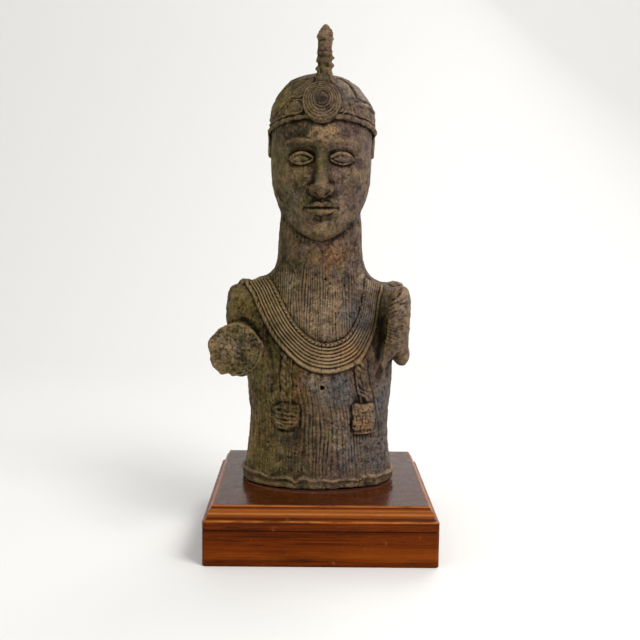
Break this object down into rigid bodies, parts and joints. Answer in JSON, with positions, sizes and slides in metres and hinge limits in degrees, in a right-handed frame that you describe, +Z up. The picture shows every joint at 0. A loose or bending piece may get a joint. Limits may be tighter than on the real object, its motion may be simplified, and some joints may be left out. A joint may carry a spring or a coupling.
{
  "type": "bronze half-length bust on a wooden plinth",
  "caption": "Dark cast bronze half-length figure with close cap, ringed rosette, plaited crest, strand collar, tassels and fragmentary arms, on a moulded square wooden plinth.",
  "frame": {"origin": "centre of the plinth's underside", "axes": "+Z up, the figure faces -Y, +X is to the right of someone looking at its face"},
  "size_m": [0.254, 0.254, 0.5806],
  "materials": {
    "bronze": "dark brown to olive patina, rough cast, worn to tan on the high relief",
    "plinth_top_wood": "red-brown stain under gloss varnish, worn pale on the arrises",
    "plinth_base_wood": "red-brown stain under gloss varnish"
  },
  "bodies": {
    "root": {"bust": "bronze", "plinth_top_board": "plinth_top_wood", "plinth_base": "plinth_base_wood"}
  },
  "joints": []
}
